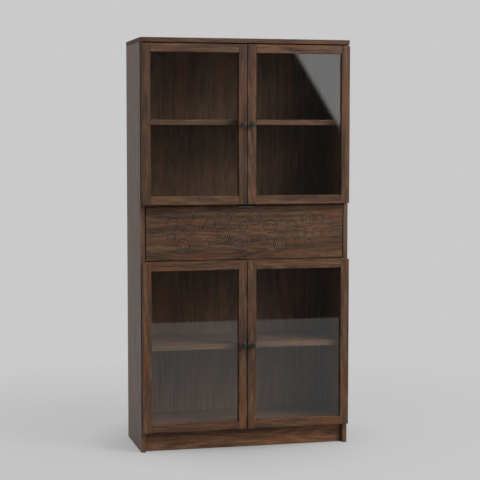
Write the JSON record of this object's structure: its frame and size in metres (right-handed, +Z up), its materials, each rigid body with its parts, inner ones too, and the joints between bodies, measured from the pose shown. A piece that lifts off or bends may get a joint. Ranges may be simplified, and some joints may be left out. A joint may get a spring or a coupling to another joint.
{
  "type": "glazed bookcase",
  "caption": "Tall dark walnut bookcase with upper and lower pairs of framed glass doors, round knobs, and a wide drawer with a carved front between them.",
  "frame": {"origin": "on the floor, at the centre of the outline seen from above, knobs included", "axes": "+Z up, the doors and the drawer face -Y, +X to the right as seen from the front"},
  "size_m": [0.9, 0.395, 1.73],
  "materials": {
    "carcass_walnut": "oiled dark walnut veneer",
    "back_walnut": "oiled dark walnut veneer",
    "door_walnut": "oiled dark walnut",
    "drawer_front_walnut": "oiled and carved dark walnut",
    "drawer_box_wood": "clear lacquered birch plywood",
    "door_glass": "clear float glass",
    "black_metal": "satin black powder coat",
    "nickel_steel": "nickel plated",
    "zinc_cast": "die-cast zinc",
    "galvanised_steel": "bright zinc plated"
  },
  "bodies": {
    "carcass": {"side_panel_left": "carcass_walnut", "side_panel_right": "carcass_walnut", "top_panel": "carcass_walnut", "upper_deck": "carcass_walnut", "lower_deck": "carcass_walnut", "bottom_panel": "carcass_walnut", "plinth": "carcass_walnut", "back_panel_upper": "back_walnut", "back_panel_lower": "back_walnut", "shelf_upper": "carcass_walnut", "shelf_lower": "carcass_walnut", "shelf_pins": "nickel_steel", "cam_locks": "zinc_cast", "cam_bolts": "nickel_steel", "carcass_screws": "nickel_steel", "wall_brackets": "black_metal", "hinge_plates": "nickel_steel", "hinge_arms": "nickel_steel", "runner_outers": "galvanised_steel"},
    "upper_left_door": {"upper_left_door_hinge_stile": "door_walnut", "upper_left_door_latch_stile": "door_walnut", "upper_left_door_bottom_rail": "door_walnut", "upper_left_door_top_rail": "door_walnut", "upper_left_door_glass": "door_glass", "upper_left_door_glazing_beads": "door_walnut", "upper_left_door_knob": "black_metal", "upper_left_door_hinge_cups": "nickel_steel"},
    "upper_right_door": {"upper_right_door_hinge_stile": "door_walnut", "upper_right_door_latch_stile": "door_walnut", "upper_right_door_bottom_rail": "door_walnut", "upper_right_door_top_rail": "door_walnut", "upper_right_door_glass": "door_glass", "upper_right_door_glazing_beads": "door_walnut", "upper_right_door_knob": "black_metal", "upper_right_door_hinge_cups": "nickel_steel"},
    "lower_left_door": {"lower_left_door_hinge_stile": "door_walnut", "lower_left_door_latch_stile": "door_walnut", "lower_left_door_bottom_rail": "door_walnut", "lower_left_door_top_rail": "door_walnut", "lower_left_door_glass": "door_glass", "lower_left_door_glazing_beads": "door_walnut", "lower_left_door_knob": "black_metal", "lower_left_door_hinge_cups": "nickel_steel"},
    "lower_right_door": {"lower_right_door_hinge_stile": "door_walnut", "lower_right_door_latch_stile": "door_walnut", "lower_right_door_bottom_rail": "door_walnut", "lower_right_door_top_rail": "door_walnut", "lower_right_door_glass": "door_glass", "lower_right_door_glazing_beads": "door_walnut", "lower_right_door_knob": "black_metal", "lower_right_door_hinge_cups": "nickel_steel"},
    "drawer": {"drawer_front": "drawer_front_walnut", "drawer_side_left": "drawer_box_wood", "drawer_side_right": "drawer_box_wood", "drawer_back": "drawer_box_wood", "drawer_bottom": "drawer_box_wood", "drawer_pull": "black_metal", "runner_inners": "galvanised_steel"},
    "runner_middle_left": {"runner_middle_left": "galvanised_steel"},
    "runner_middle_right": {"runner_middle_right": "galvanised_steel"}
  },
  "joints": [
    {"name": "upper_left_door_swing", "type": "hinge", "parent": "carcass", "child": "upper_left_door", "pos_m": [-0.4385, -0.1555, 1.3725], "axis": [0, 0, -1], "range_deg": [0, 100]},
    {"name": "upper_right_door_swing", "type": "hinge", "parent": "carcass", "child": "upper_right_door", "pos_m": [0.4385, -0.1555, 1.3725], "axis": [0, 0, 1], "range_deg": [0, 100]},
    {"name": "lower_left_door_swing", "type": "hinge", "parent": "carcass", "child": "lower_left_door", "pos_m": [-0.4385, -0.1555, 0.4435], "axis": [0, 0, -1], "range_deg": [0, 100]},
    {"name": "lower_right_door_swing", "type": "hinge", "parent": "carcass", "child": "lower_right_door", "pos_m": [0.4385, -0.1555, 0.4435], "axis": [0, 0, 1], "range_deg": [0, 100]},
    {"name": "drawer_slide", "type": "slide", "parent": "carcass", "child": "drawer", "axis": [0, -1, 0], "range_m": [0, 0.3]},
    {"name": "runner_middle_left_slide", "type": "slide", "parent": "carcass", "child": "runner_middle_left", "axis": [0, -1, 0], "range_m": [0, 0.15]},
    {"name": "runner_middle_right_slide", "type": "slide", "parent": "carcass", "child": "runner_middle_right", "axis": [0, -1, 0], "range_m": [0, 0.15]}
  ],
  "couplings": [
    {"joint": "runner_middle_left_slide", "follows": "drawer_slide", "ratio": 0.5},
    {"joint": "runner_middle_right_slide", "follows": "drawer_slide", "ratio": 0.5}
  ]
}
